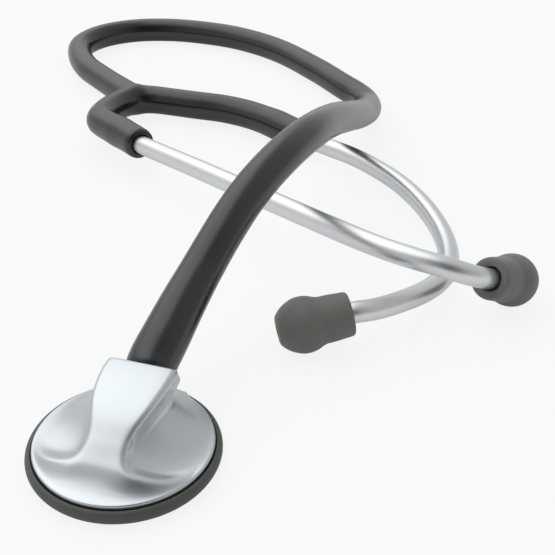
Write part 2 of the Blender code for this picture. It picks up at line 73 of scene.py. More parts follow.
# The neck
NECK_FRONT = -17.0             # where its foot starts, before the axis
NECK_BACK = 22.0               # where its tables end, behind its end
NECK_BOTTOM = 4.3              # its underside, inside the disc
LEAN_FROM = 9.0                # where its sections start to lean towards the plane of its end
END_FOOT = 16.8                # where its end stands upright, under the stem
SIDE_DROP = 4.8                # from the flange's edge down to where the side spreads into the foot
STATION_STEP = 0.5             # between two of its sections
STEM_AT = Vector((0.0, 16.0, 12.3))
STEM_RISE = 27.0               # degrees above the table
SEAT_R = 3.5                   # the bore that the stem is pressed into
CHANNEL_R = 1.9                # the sound channel behind it

# The skins that join the disc to the neck, and the fork's three tubes
HEAD_VOXEL = 0.24
FORK_VOXEL = 0.5
FORK_MELT = 0.5                # how far the fork's tubes melt into each other

# The tubing, the ear tubes and the ear tips
HOSE_R = 5.45
CUFF_R = 6.25                  # over the stem's barbs
FORK_R = 5.9                   # at the fork's middle
ARM_R = 5.6
ARM_START = 10.5               # where a sleeve starts, along the fork's tube
FORK_REACH = 15.0              # how far the fork's tubes are made, before they are cut
FORK_TRIM = 3.0                # and how much of that is cut off
TUBE_R = 3.3                   # at the yoke
TUBE_END_R = 3.0               # at the ear tip
TUBE_INSERT = 18.0             # length of ear tube inside its arm
TIP_LENGTH = 20.5
TIP_BALL_AT = 7.3              # centre of the tip's bulb behind its nose
BLEND_REACH = 9.0              # distance before and after a sleeve's hinge

# Centre lines
HOSE_ROUTE = [
    (7.6, 23.9, 17.1), (11.4, 32.4, 21.7), (15.7, 41.5, 26.4), (20.3, 50.0, 31.6),
    (25.0, 58.6, 36.0), (30.3, 67.9, 39.4), (36.8, 80.0, 41.4), (44.0, 97.5, 40.0),
    (52.2, 126.0, 32.2), (59.0, 150.0, 23.6), (66.4, 178.0, 13.2), (71.0, 199.0, 7.2),
    (69.4, 213.0, 5.6), (62.1, 226.5, 5.6), (52.0, 244.7, 5.6), (34.3, 270.7, 5.6),
    (14.6, 287.8, 5.6), (-5.5, 296.4, 5.6), (-22.4, 299.2, 5.6), (-38.8, 296.6, 5.6),
    (-52.2, 287.4, 5.6), (-58.9, 273.2, 5.6), (-57.2, 258.8, 5.6), (-51.2, 243.6, 5.8),
    (-43.4, 231.4, 6.1),
]
YOKE_SOCKET = (-38.2, 223.8, 6.3)
YOKE_MIDDLE = (-25.0, 204.8, 6.8)
LEFT_HINGE = Vector((-34.2, 182.0, 8.6))
RIGHT_HINGE = Vector((0.0, 200.8, 6.3))
LEFT_CROWN_ROUTE = [YOKE_MIDDLE, (-29.6, 198.4, 7.1), (-32.6, 191.0, 7.7), tuple(LEFT_HINGE)]
RIGHT_CROWN_ROUTE = [YOKE_MIDDLE, (-17.0, 205.0, 6.6), (-8.6, 203.2, 6.4), tuple(RIGHT_HINGE)]
LEFT_ARM_ROUTE = [
    tuple(LEFT_HINGE), (-33.9, 176.6, 9.1), (-31.2, 171.8, 9.6), (-26.4, 165.6, 10.2),
    (-20.4, 157.7, 10.9), (-14.9, 149.9, 11.5),
]
RIGHT_ARM_ROUTE = [
    tuple(RIGHT_HINGE), (12.4, 197.4, 6.2), (22.7, 191.9, 6.2), (31.4, 184.6, 6.2),
    (39.2, 176.4, 6.2), (45.6, 169.3, 6.2),
]
LEFT_TUBE_ROUTE = [
    (-9.1, 143.4, 12.2), (8.5, 124.3, 14.2), (26.0, 104.7, 16.3), (41.4, 87.4, 18.2),
    (58.2, 69.4, 20.0), (66.1, 62.4, 20.5), (73.9, 57.3, 20.6), (79.6, 55.0, 20.2),
    (84.6, 54.3, 18.9), (89.6, 55.6, 16.6),
]
RIGHT_TUBE_ROUTE = [
    (54.2, 161.6, 6.0), (60.9, 156.2, 5.8), (67.8, 149.0, 5.5), (76.9, 135.6, 5.2),
    (83.2, 121.0, 5.0), (87.2, 105.0, 4.8), (88.3, 90.4, 4.8), (86.5, 77.8, 5.1),
    (82.2, 68.8, 5.8), (76.6, 61.6, 6.8), (69.2, 54.6, 8.2), (62.0, 49.2, 9.4),
]
LEFT_BALL = Vector((103.4, 67.8, 7.8))
LEFT_TIP_AXIS = Vector((0.66, 0.62, -0.42)).normalized()
RIGHT_BALL = Vector((42.4, 43.5, 7.85))
RIGHT_TIP_AXIS = Vector((-0.965, -0.195, -0.165)).normalized()

NECK_TURN = Matrix.Rotation(math.radians(NECK_AZIMUTH - 90), 4, 'Z')
STEM_AXIS = Vector((0, math.cos(math.radians(STEM_RISE)), math.sin(math.radians(STEM_RISE))))


# ---------------------------------------------------------------- camera

def set_camera():
    """The photograph's view: a low camera in front of the chestpiece."""
    pitch, roll = math.radians(32.34), math.radians(0.87)
    forward = Vector((0, math.cos(pitch), -math.sin(pitch)))
    level_up = Vector((0, math.sin(pitch), math.cos(pitch)))
    level_right = Vector((1, 0, 0))
    right = level_right * math.cos(roll) + level_up * math.sin(roll)
    up = level_up * math.cos(roll) - level_right * math.sin(roll)
    data = bpy.data.cameras.new("camera")
    data.sensor_width = 36.0
    data.lens = 62.08
    data.clip_start = 0.01
    camera = bpy.data.objects.new("camera", data)
    turn = Matrix((right, up, -forward)).transposed().to_4x4()
    camera.matrix_world = Matrix.Translation((Vector((35.2, -168.1, 156.8)) + LAYOUT_AT) * MM) @ turn
    bpy.context.scene.collection.objects.link(camera)
    bpy.context.scene.camera = camera


# ---------------------------------------------------------------- routes and sweeps

def soft_step(t):
    """A smooth step from 0 to 1, for numbers and arrays."""
    t = np.clip(t, 0.0, 1.0)
    return t * t * (3 - 2 * t)


def smooth_points(points, parts=24):
    """A smooth curve through points, as many short pieces."""
    points = [Vector(p) for p in points]
    dense = [points[0]]
    for k in range(len(points) - 1):
        a, b = points[k], points[k + 1]
        before = points[k - 1] if k else a - (b - a)
        after = points[k + 2] if k + 2 < len(points) else b + (b - a)
        reach = (b - a).length / 3
        handle_a = a + (b - before).normalized() * reach
        handle_b = b - (after - a).normalized() * reach
        dense += interpolate_bezier(a, handle_a, handle_b, b, parts)[1:]
    return dense


def eased(stops, distance):
    """A smooth reading of (distance, value) stops."""
    if distance <= stops[0][0]:
        return stops[0][1]
    for k in range(len(stops) - 1):
        (d0, v0), (d1, v1) = stops[k], stops[k + 1]
        if distance <= d1:
            before = stops[k - 1] if k else (d0, v0)
            after = stops[k + 2] if k + 2 < len(stops) else (d1, v1)
            slope0 = (v1 - before[1]) / (d1 - before[0])
            slope1 = (after[1] - v0) / (after[0] - d0)
            span = d1 - d0
            t = (distance - d0) / span
            return (v0 * (2 * t ** 3 - 3 * t ** 2 + 1) + v1 * (3 * t ** 2 - 2 * t ** 3)
                    + span * slope0 * (t ** 3 - 2 * t ** 2 + t) + span * slope1 * (t ** 3 - t ** 2))
    return stops[-1][1]


class Route:
    """A centre line that can be read at any distance, with a frame that doesn't twist along it."""

    def __init__(self, points, spacing=0.5):
        dense = smooth_points(points)
        steps = [(q - p).length for p, q in zip(dense, dense[1:])]
        self.length = sum(steps)
        count = round(self.length / spacing)
        self.spacing = self.length / count
        self.points = [dense[0]]
        travelled = 0.0
        for p, q, step in zip(dense, dense[1:], steps):
            while len(self.points) < count and travelled + step >= self.spacing * len(self.points):
                self.points.append(p.lerp(q, (self.spacing * len(self.points) - travelled) / step))
            travelled += step
        self.points.append(dense[-1])
        self.sides = []
        side = self.tangent(0).cross(Vector((0, 0, 1)))
        for k in range(len(self.points)):
            tangent = self.tangent(k)
            side = (side - tangent * side.dot(tangent)).normalized()
            self.sides.append(side.copy())

    def tangent(self, k):
        ahead = self.points[min(k + 3, len(self.points) - 1)]
        behind = self.points[max(k - 3, 0)]
        return (ahead - behind).normalized()

    def at(self, distance):
        """The point, the side and the up vector at a distance, carried on straight past the ends."""
        last = len(self.points) - 1
        place = min(max(distance / self.spacing, 0.0), last - 1e-6)
        k = int(place)
        middle = self.points[k].lerp(self.points[k + 1], place - k)
        tangent = self.tangent(k).lerp(self.tangent(k + 1), place - k).normalized()
        side = self.sides[k].lerp(self.sides[k + 1], place - k)
        side = (side - tangent * side.dot(tangent)).normalized()
        middle = middle + tangent * (distance - min(max(distance, 0.0), self.length))
        return middle, side, tangent.cross(side)


def extruded_ring(bm, ring):
    """Extrudes a closed ring of vertices; the new ones come in the ring's order."""
    edges = [bm.edges.get((a, b)) for a, b in zip(ring, ring[1:] + ring[:1])]
    made = bmesh.ops.extrude_edge_only(bm, edges=edges)
    fresh = {v for v in made["geom"] if isinstance(v, bmesh.types.BMVert)}
    return [next(e.other_vert(old) for e in old.link_edges if e.other_vert(old) in fresh) for old in ring]


def close_ring(bm, ring):
    """Fills a ring of vertices with one face."""
    edges = [bm.edges.get((a, b)) for a, b in zip(ring, ring[1:] + ring[:1])]
    bmesh.ops.contextual_create(bm, geom=edges)


def spaced(stops, step):
    """(distance, radius) marks along stops, close enough together for a smooth surface."""
    marks = []
    for (d0, r0), (d1, r1) in zip(stops, stops[1:]):
        parts = max(1, math.ceil(math.hypot(d1 - d0, r1 - r0) / step))
        marks += [(d0 + (d1 - d0) * k / parts, r0 + (r1 - r0) * k / parts) for k in range(parts)]
    return marks + [stops[-1]]


def sweep(route, marks, sides):
    """A round section carried along a route. Every point keeps its place on the straightened tube."""
    bm = bmesh.new()
    place = bm.verts.layers.float_vector.new("tube_place")
    ring = bmesh.ops.create_circle(bm, segments=sides, radius=1.0)["verts"]
    first = ring
    turn = 2 * math.pi / sides
    for k, (distance, radius) in enumerate(marks):
        if k:
            ring = extruded_ring(bm, ring)
        middle, side, up = route.at(distance)
        for i, vert in enumerate(ring):
            across = Vector((math.cos(i * turn), math.sin(i * turn)))
            vert.co = middle + (side * across.x + up * across.y) * radius
            vert[place] = Vector((across.x * radius, across.y * radius, distance)) * MM
    close_ring(bm, first)
    close_ring(bm, ring)
    return bm


def turned(profile, steps, at=(0, 0, 0), axis=(0, 0, 1)):
    """A closed profile of (radius, height) turned about an axis through a point."""
    bm = bmesh.new()
    points = [bm.verts.new((radius, 0.0, height)) for radius, height in profile]
    edges = [bm.edges.new((a, b)) for a, b in zip(points, points[1:] + points[:1])
             if max(a.co.x, b.co.x) > 0]
    bmesh.ops.spin(bm, geom=points + edges, cent=(0, 0, 0), axis=(0, 0, 1), angle=2 * math.pi,
                   steps=steps, use_merge=True)
    bmesh.ops.remove_doubles(bm, verts=bm.verts[:], dist=1e-4)
    turn = Vector(axis).to_track_quat('Z', 'Y').to_matrix().to_4x4()
    bmesh.ops.transform(bm, matrix=Matrix.Translation(Vector(at)) @ turn, verts=bm.verts[:])
    return bm


def rounded(points, parts=8):
    """A profile's smooth curve through its points."""
    return [(p.x, p.y) for p in smooth_points([(x, y, 0.0) for x, y in points], parts)]


def as_object(name, bm):
    """An object from a closed shape, with its faces pointing outwards."""
    bmesh.ops.recalc_face_normals(bm, faces=bm.faces)
    if bm.calc_volume(signed=True) < 0:
        bmesh.ops.reverse_faces(bm, faces=bm.faces)
    mesh = bpy.data.meshes.new(name)
    bm.to_mesh(mesh)
    bm.free()
    made = bpy.data.objects.new(name, mesh)
    bpy.context.scene.collection.objects.link(made)
    return made


def finished(name, bm, finish, body=None, turn=None, sharp=40.0):
    """Scales a shape in the layout's millimetres to its place in metres and gives it its finish."""
    bm.transform(Matrix.Scale(MM, 4) @ Matrix.Translation(LAYOUT_AT) @ (turn or Matrix.Identity(4)))
    piece = as_object(name, bm)
    piece.data.shade_smooth()
    piece.data.set_sharp_from_angle(angle=math.radians(sharp))
    piece.data.materials.append(finish)
    if body:
        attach(piece, body)
    return piece


def applied(made, helpers):
    """The mesh that an object's modifiers give, as a bmesh; the object and its helpers go."""
    evaluated = made.evaluated_get(bpy.context.evaluated_depsgraph_get())
    mesh = bpy.data.meshes.new_from_object(evaluated)
    bm = bmesh.new()
    bm.from_mesh(mesh)
    bpy.data.meshes.remove(mesh)
    for old in [made] + helpers:
        bpy.data.objects.remove(old)
    return bm


def skinned(made, tools, voxel_size):
    """One even skin over an object that is joined to (UNION) or cut by (DIFFERENCE) its tools."""
    for tool, operation in tools:
        joint = made.modifiers.new(tool.name, 'BOOLEAN')
        joint.operation = operation
        joint.object = tool
        joint.solver = 'EXACT'
    skin = made.modifiers.new("skin", 'REMESH')
    skin.mode = 'VOXEL'
    skin.voxel_size = voxel_size
    return applied(made, [tool for tool, _ in tools])


def smoothed(bm, verts, times):
    """Evens out some vertices, a few times over."""
    for _ in range(times):
        bmesh.ops.smooth_vert(bm, verts=verts, factor=0.5, use_axis_x=True, use_axis_y=True, use_axis_z=True)


def settle(bm, depth, free=None):
    """Moves a skin's points onto the surface where depth is nought, and evens them out.

    A point moves down depth's slope, at most by a fixed reach in a step; free says which points may.
    """
    rounds, probe, longest = 4, 0.02, 0.3
    points = np.array([v.co for v in bm.verts])
    moves = np.ones(len(points)) if free is None else free(points).astype(float)
    loose = [v for v, move in zip(bm.verts, moves) if move]
    smoothed(bm, loose, 8)
    points = np.array([v.co for v in bm.verts])
    for _ in range(rounds):
        here = depth(points)
        slope = np.stack([depth(points + step) - here for step in np.eye(3) * probe], axis=1) / probe
        reach = here / np.maximum((slope ** 2).sum(axis=1), 0.3)
        points -= slope * (np.clip(reach, -longest, longest) * moves)[:, None]
    for vert, point in zip(bm.verts, points):
        vert.co = point
    smoothed(bm, loose, 2)


def soft_min(a, b, melt):
    """The smaller of two depths, rounded over about melt where they are alike."""
    return -melt * np.logaddexp(-a / melt, -b / melt)


# ---------------------------------------------------------------- finishes

class Value:
    """A shader value; an operator on it adds the Math node."""

    def __init__(self, finish, socket):
        self.finish = finish
        self.socket = socket

    def math(self, operation, *values):
        node = self.finish.node("ShaderNodeMath", {"operation": operation},
                                dict(enumerate((self,) + values)))
        return Value(self.finish, node.outputs[0])

    def __add__(self, other):
        return self.math('ADD', other)

    __radd__ = __add__

    def __mul__(self, other):
        return self.math('MULTIPLY', other)

    __rmul__ = __mul__

    def __sub__(self, other):
        return self.math('SUBTRACT', other)

    def __rsub__(self, other):
        return (self * -1.0) + other

    def __pow__(self, other):
        return self.math('POWER', other)


class Nodes:
    """A node tree, and one way to add any node to it."""

    def __init__(self, tree):
        self.tree = tree

    def feed(self, node, inputs):
        for key, value in inputs.items():
            if isinstance(value, Value):
                self.tree.links.new(value.socket, node.inputs[key])
            elif isinstance(value, bpy.types.NodeSocket):
                self.tree.links.new(value, node.inputs[key])
            else:
                node.inputs[key].default_value = value

    def node(self, kind, settings, inputs):
        made = self.tree.nodes.new(kind)
        for key, value in settings.items():
            if key == "stops":
                ramp = made.color_ramp
                while len(ramp.elements) < len(value):
                    ramp.elements.new(0.5)
                for element, (position, color) in zip(ramp.elements, value):
                    element.position = position
                    element.color = color
            else:
                setattr(made, key, value)
        self.feed(made, inputs)
        return made

    def ramp(self, value, stops):
        """A value read from (position, value) stops."""
        made = self.node("ShaderNodeValToRGB", {
            "stops": [(p, (v, v, v, 1.0)) for p, v in stops]}, {"Fac": value})
        return Value(self, made.outputs["Color"])


class Finish(Nodes):
    """A material with its Principled shader."""

    def __init__(self, name, constants):
        self.material = bpy.data.materials.new(name)
        self.material.use_nodes = True
        super().__init__(self.material.node_tree)
        self.shader = self.tree.nodes["Principled BSDF"]
        self.feed(self.shader, constants)

    def place(self):
        """Object coordinates, in metres in the part's own frame."""
        return self.node("ShaderNodeTexCoord", {}, {}).outputs["Object"]

    def tube_place(self):
        """The place on the straightened tube, in metres."""
        return self.node("ShaderNodeAttribute", {"attribute_name": "tube_place"}, {}).outputs["Vector"]

    def stretched(self, vector, scale):
        return self.node("ShaderNodeMapping", {}, {"Vector": vector, "Scale": scale}).outputs[0]

    def noise(self, vector, scale, detail=2.0, roughness=0.5):
        made = self.node("ShaderNodeTexNoise", {}, {
            "Vector": vector, "Scale": scale, "Detail": detail, "Roughness": roughness})
        return Value(self, made.outputs[0])

    def mixed(self, factor, first, second):
        """A colour between two colours."""
        made = self.node("ShaderNodeMix", {"data_type": 'RGBA'}, {0: factor, 6: first, 7: second})
        return made.outputs[2]

    def bump(self, height, distance, strength=1.0):
        made = self.node("ShaderNodeBump", {}, {
            "Height": height, "Distance": distance, "Strength": strength})
        self.feed(self.shader, {"Normal": made.outputs[0]})

    def set(self, inputs):
        self.feed(self.shader, inputs)


def black_tubing():
    """Moulded black tubing: a soft gloss with faint handling haze and a very slight orange peel."""
    finish = Finish("black_tubing", {"IOR": 1.5, "Specular IOR Level": 0.8})
    place = finish.tube_place()
    haze = finish.noise(finish.stretched(place, (1.0, 1.0, 0.35)), 160.0, 4.0, 0.6)
    dust = finish.ramp(finish.noise(place, 900.0, 3.0, 0.55), [(0.55, 0.0), (0.75, 1.0)])
    finish.set({
        "Base Color": finish.mixed(haze, (0.008, 0.008, 0.0085, 1), (0.015, 0.0147, 0.015, 1)),
        "Roughness": 0.18 + 0.08 * haze + 0.08 * dust,
    })
    peel = finish.noise(place, 420.0, 2.0, 0.5)
    finish.bump(peel + 0.12 * dust, 0.00004)
    return finish.material


def satin_steel():
    """The blasted and polished steel of the head, with traces of turning."""
    finish = Finish("satin_steel", {"Metallic": 1.0})
    place = finish.place()
    grain = finish.noise(place, 5200.0, 2.0, 0.6)
    cloud = finish.noise(place, 60.0, 3.0, 0.5)
    finish.set({
        "Base Color": finish.mixed(cloud, (0.60, 0.62, 0.63, 1), (0.65, 0.665, 0.675, 1)),
        "Roughness": 0.27 + 0.05 * cloud + 0.05 * grain,
    })
    finish.bump(grain, 0.000004)
    return finish.material


def satin_tube():
    """Anodised aluminium, drawn lengthwise."""
    finish = Finish("satin_tube", {"Metallic": 1.0})
    place = finish.tube_place()
    drawn = finish.noise(finish.stretched(place, (1.0, 1.0, 0.02)), 2600.0, 3.0, 0.6)
    cloud = finish.noise(finish.stretched(place, (1.0, 1.0, 0.3)), 120.0, 3.0, 0.5)
    finish.set({
        "Base Color": finish.mixed(cloud, (0.77, 0.77, 0.775, 1), (0.84, 0.84, 0.845, 1)),
        "Roughness": 0.3 + 0.06 * drawn + 0.05 * cloud,
    })
    finish.bump(drawn, 0.000006)
    return finish.material


def soft_grey(name, dark, light, roughness, grain_size):
    """Soft grey moulded rubber with a fine matt grain and slightly polished high spots."""
    finish = Finish(name, {"IOR": 1.45})
    place = finish.place()
    grain = finish.noise(place, grain_size, 3.0, 0.6)
    cloud = finish.noise(place, 140.0, 3.0, 0.55)
    finish.set({
        "Base Color": finish.mixed(0.7 * cloud + 0.3 * grain, dark, light),
        "Roughness": roughness - 0.07 + 0.14 * cloud,
    })
    finish.bump(grain, 0.00002)
    return finish.material


def turned_metal(name, color, roughness):
    """Small turned or rolled metal parts."""
    finish = Finish(name, {"Metallic": 1.0})
    grain = finish.noise(finish.place(), 3000.0, 3.0, 0.6)
    darker = tuple(c * 0.85 for c in color) + (1,)
    finish.set({
        "Base Color": finish.mixed(grain, darker, color + (1,)),
        "Roughness": roughness - 0.05 + 0.1 * grain,
    })
    finish.bump(grain, 0.000005)
    return finish.material


def diaphragm_sheet():
    """The pale stiff sheet under the head, with a fibrous mottling."""
    finish = Finish("diaphragm_sheet", {"IOR": 1.5})
    fibre = finish.noise(finish.place(), 900.0, 6.0, 0.7)
    finish.set({
        "Base Color": finish.mixed(fibre, (0.50, 0.52, 0.50, 1), (0.66, 0.67, 0.65, 1)),
        "Roughness": 0.34 + 0.12 * fibre,
    })
    finish.bump(fibre, 0.00001)
    return finish.material


# ---------------------------------------------------------------- head

# (place along the neck, value); a place is a distance from the head's axis towards the tubing
NECK_WIDTH = [(NECK_FRONT, 7.4), (-15.0, 6.5), (-13.0, 5.8), (-10.5, 5.3), (-8.0, 5.2), (-5.5, 5.7),
              (-2.5, 6.7), (0.0, 7.5), (4.0, 8.3), (8.0, 8.8), (12.0, 8.9), (NECK_BACK, 8.3)]
NECK_TOP = [(NECK_FRONT, 5.0), (-15.0, 6.7), (-13.0, 8.7), (-10.5, 10.8), (-8.0, 12.5), (-4.0, 14.8),
            (0.0, 16.4), (4.0, 17.3), (8.0, 17.9), (12.0, 18.2), (NECK_BACK, 18.4)]
FLUTE_DEPTH = [(NECK_FRONT, 0.0), (-8.0, 0.0), (-5.0, 0.9), (0.0, 1.8), (5.0, 2.0), (9.0, 1.3),
               (12.0, 0.2), (NECK_BACK, 0.0)]
FLANGE = [(NECK_FRONT, 1.2), (-13.0, 1.4), (-6.0, 1.6), (4.0, 2.0), (12.0, 2.7), (NECK_BACK, 2.9)]
LOBE_TOP = [(NECK_FRONT, 8.2), (-14.0, 8.5), (-8.0, 9.0), (-4.0, 10.2), (0.0, 11.3), (5.0, 11.7),
            (9.0, 10.9), (12.0, 9.6), (15.0, 8.0), (18.0, 6.4), (21.0, 5.2), (NECK_BACK, 5.0)]
PLACES = np.linspace(NECK_FRONT, NECK_BACK, 391)
NECK_HALF, LOBE_CREST = [np.array([eased(stops, y) for y in PLACES]) for stops in (NECK_WIDTH, LOBE_TOP)]

# (radius, height) of the disc's underside and edge, from the bowl's flat outwards
BOWL_TOP_Z = 3.7
DISC_UNDER = [(2.0, BOWL_TOP_Z), (18.1, 2.1), (18.9, 1.7), (20.2, 1.7), (20.2, 3.0), (HEAD_R - 0.1, 3.3),
              (HEAD_R, 3.45)]


def crease_at(x):
    """The crease's place before or behind the axis, at a distance from the middle."""
    return CREASE_AT + CREASE_TURN * (np.abs(x) / CREASE_REACH) ** 4


def front_height(x, y):
    """The hollow front slope: flat at the disc's edge and steepest just under the crease."""
    edge_y = -np.sqrt(np.maximum(0.1, (HEAD_R - 0.3) ** 2 - x * x))
    span = np.maximum(crease_at(x) - edge_y, 0.5)
    up = np.clip((y - edge_y) / span, 0.0, 1.5)
    rise = RIDGE_RISE * np.maximum(0.0, 1.0 - (x / RIDGE_END) ** 2) ** 1.3
    return HEAD_EDGE_Z + 0.2 + rise * up ** HOLLOW


def lobe_height(x, y):
    """The hollow lobes, which sweep up from the disc's edge to the rail along the neck's side."""
    rim_x = np.sqrt(np.maximum(1.0, HEAD_R ** 2 - y * y))
    half = np.minimum(np.interp(y, PLACES, NECK_HALF), rim_x - 0.5)
    inward = np.clip((rim_x - np.abs(x)) / (rim_x - half), 0.0, 1.1)
    return HEAD_EDGE_Z + 0.1 + (np.interp(y, PLACES, LOBE_CREST) - HEAD_EDGE_Z) * inward ** HOLLOW


def head_height(x, y):
    """The front slope before the crease and the lobes behind it, with the crease's edge rounded."""
    past = y - crease_at(x)
    edge = CREASE_EDGE + CREASE_SOFT * (1.0 - soft_step(np.abs(x) / CREASE_CALM))
    behind = 0.5 * (past + np.sqrt(past * past + edge * edge))
    ridge = front_height(x, y - behind)
    return ridge + (lobe_height(x, y) - ridge) * soft_step(behind / CREASE_BACK)


def neck_section(y):
    """One cross-section of the neck: crowned top, flange edge, flute, rail and foot."""
    half = eased(NECK_WIDTH, y)
    top = eased(NECK_TOP, y)
    flute = eased(FLUTE_DEPTH, y)
    flange = eased(FLANGE, y)
    flare = 1.6 - 4.2 * soft_step((y - 3.0) / 13.0)
    foot = min(half + flare, math.sqrt(max(4.0, (HEAD_R - 0.9) ** 2 - y * y)))
    fit = min(1.0, max(0.1, (top - HEAD_EDGE_Z) / (flange + SIDE_DROP)))
    side = [
        (0.0, 0.0), (half * 0.5, 0.06), (half - 1.3, 0.18), (half - 0.45, 0.5), (half - 0.05, 1.1),
        (half, 1.1 + (flange - 1.1) * 0.6), (half - 0.12, flange), (half - 0.5 * flute - 0.1, flange + 0.35),
        (half - flute, flange + 0.9), (half - flute, flange + 1.6), (half - 0.45 * flute, flange + 2.2),
        (half + 0.1 * flare, flange + 2.6), (half + 0.22 * flare, flange + 3.3),
        (min(foot, half + 0.45 * flare), flange + SIDE_DROP),
        (foot, (top - NECK_BOTTOM) / fit),
    ]
    curve = smooth_points([(x, drop, 0.0) for x, drop in side], 3)
    right = [Vector((p.x, y, top - p.y * fit)) for p in curve]
    left = [Vector((-p.x, p.y, p.z)) for p in reversed(right[1:])]
    return right + [Vector((0.0, y, NECK_BOTTOM))] + left


def neck_end_ring(fraction, back, inset):
    """A ring that leans towards the plane of the neck's end, which is square to the hose."""
    ring = []
    for k in range(len(neck_section(LEAN_FROM))):
        y = 14.0
        for _ in range(5):
            z = neck_section(y)[k].z
            y = min(STEM_AT.y - (z - STEM_AT.z) * STEM_AXIS.z / STEM_AXIS.y, END_FOOT) - back
        point = neck_section(LEAN_FROM + (y - LEAN_FROM) * fraction)[k]
        ring.append(point + (STEM_AT - point).normalized() * inset)
    return ring


def lofted(rings):
    """Draws the first ring and extrudes it through the others."""
    bm = bmesh.new()
    ring = [bm.verts.new(p) for p in rings[0]]
    first = ring
    for a, b in zip(ring, ring[1:] + ring[:1]):
        bm.edges.new((a, b))
    for points in rings[1:]:
        ring = extruded_ring(bm, ring)
        for vert, point in zip(ring, points):
            vert.co = point
    close_ring(bm, first)
    close_ring(bm, ring)
    return bm


def disc_blank():
    """The turned disc with its bowl, and its top raised to the slopes, the crease and the lobes."""
    blank_z, ring_step, ring_count = 5.1, 0.35, 59
    top = [(HEAD_R - 0.12 - ring_step * k, blank_z) for k in range(ring_count)] + [(0.0, blank_z)]
    blank = turned([(0.0, BOWL_TOP_Z)] + DISC_UNDER + [(HEAD_R, HEAD_EDGE_Z - 0.1)] + top, 288)
    for vert in blank.verts:
        if vert.co.z > blank_z - 0.05:
            vert.co.z = float(head_height(vert.co.x, vert.co.y))
    return blank


def neck_blank():
    """The neck from its foot to its end, whose edge is rounded."""
    rings = [neck_section(y) for y in np.arange(NECK_FRONT, LEAN_FROM + 0.01, STATION_STEP)]
    rings += [neck_end_ring(fraction, 0.7, 0.0) for fraction in (0.2, 0.4, 0.6, 0.8, 1.0)]
    rings += [neck_end_ring(1.0, back, inset) for back, inset in ((0.35, 0.1), (0.1, 0.35), (0.0, 0.8))]
    return lofted(rings)


def stem_bore(radius, deep, shallow, steps):
    """A round bore along the stem's axis, from one depth to another."""
    profile = [(0.0, deep), (radius, deep), (radius, shallow), (0.0, shallow)]
    return turned(profile, steps, STEM_AT, STEM_AXIS)


# The neck's half sections, read once: the depth of any point is taken between two of them
NECK_STATIONS = np.arange(NECK_FRONT, NECK_BACK + 0.01, STATION_STEP)
NECK_SIDES = np.array([[(p.x, p.z) for p in neck_section(y) if p.x > -0.01][:-1] for y in NECK_STATIONS])
PAST_MIDDLE = -3.0             # outlines close beyond the middle, so that it doesn't count as an edge
OVERHEAD = 40.0                # and far above the head
DISC_OUTLINE = [(PAST_MIDDLE, BOWL_TOP_Z)] + DISC_UNDER + [(HEAD_R, OVERHEAD), (PAST_MIDDLE, OVERHEAD)]


def outline_depth(x, z, outline):
    """How far places lie outside a closed outline; its points may differ from place to place."""
    near = np.full(len(x), np.inf)
    inside = np.zeros(len(x), bool)
    for (ax, az), (bx, bz) in zip(outline, outline[1:] + outline[:1]):
        ex, ez = bx - ax, bz - az
        part = np.clip(((x - ax) * ex + (z - az) * ez) / (ex * ex + ez * ez + 1e-9), 0.0, 1.0)
        near = np.minimum(near, np.hypot(x - ax - part * ex, z - az - part * ez))
        crossed = (az > z) != (bz > z)
        inside ^= crossed & (x < ax + (z - az) * ex / np.where(np.abs(ez) < 1e-9, 1e-9, ez))
    return np.where(inside, -near, near)


def neck_depth(points):
    """How far points lie outside the neck."""
    x, y, z = points.T
    place = np.clip((y - NECK_STATIONS[0]) / STATION_STEP, 0.0, len(NECK_STATIONS) - 1.001)
    low = place.astype(int)
    share = (place - low)[:, None, None]
    side = NECK_SIDES[low] * (1 - share) + NECK_SIDES[low + 1] * share
    outline = [(PAST_MIDDLE, side[:, 0, 1])] + [(side[:, k, 0], side[:, k, 1]) for k in range(side.shape[1])]
    outline += [(side[:, -1, 0], NECK_BOTTOM), (PAST_MIDDLE, NECK_BOTTOM)]
    end = (points - np.array(STEM_AT)) @ np.array(STEM_AXIS)
    end = -soft_min(-end, END_FOOT - y, 0.4)
    inside = -soft_min(-outline_depth(np.abs(x), z, outline), -end, 0.25)
    return np.maximum(inside, NECK_STATIONS[0] - y)


def head_depth(points):
    """How far points lie outside the head: the disc and the neck, melted into each other.

    The melt is slight along the neck, and wide at its foot, which spreads as a bell.
    """
    x, y, z = points.T
    disc = -soft_min(head_height(x, y) - z, -outline_depth(np.hypot(x, y), z, DISC_OUTLINE), 0.12)
    neck = np.full(len(points), 30.0)
    near = (np.abs(x) < 15.0) & (z > 4.2)
    neck[near] = neck_depth(points[near])
    return soft_min(disc, neck, 0.3 + 0.8 * soft_step((-1.0 - y) / 9.0) * soft_step((y + 17.5) / 4.0))


def away_from_seat(points):
    """Whether points lie clear of the bores along the stem's axis."""
    offsets = points - np.array(STEM_AT)
    along = offsets @ np.array(STEM_AXIS)
    across = np.linalg.norm(offsets - along[:, None] * np.array(STEM_AXIS), axis=1)
    return (across > 4.2) | (along < -20.0)


def dress_head(finish):
    """The head is turned, its top is shaped, and the neck is joined on with small natural fillets."""
    head = as_object("head_working", disc_blank())
    tools = [
        (as_object("neck_working", neck_blank()), 'UNION'),
        (as_object("seat_working", stem_bore(SEAT_R, -7.3, 4.0, 64)), 'DIFFERENCE'),
        (as_object("channel_working", stem_bore(CHANNEL_R, -20.5, -5.0, 48)), 'DIFFERENCE'),
    ]
    bm = skinned(head, tools, HEAD_VOXEL)
    settle(bm, head_depth, away_from_seat)
    piece = finished("machined_head", bm, finish, "base", NECK_TURN, 180)
    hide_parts("chestpiece_head")


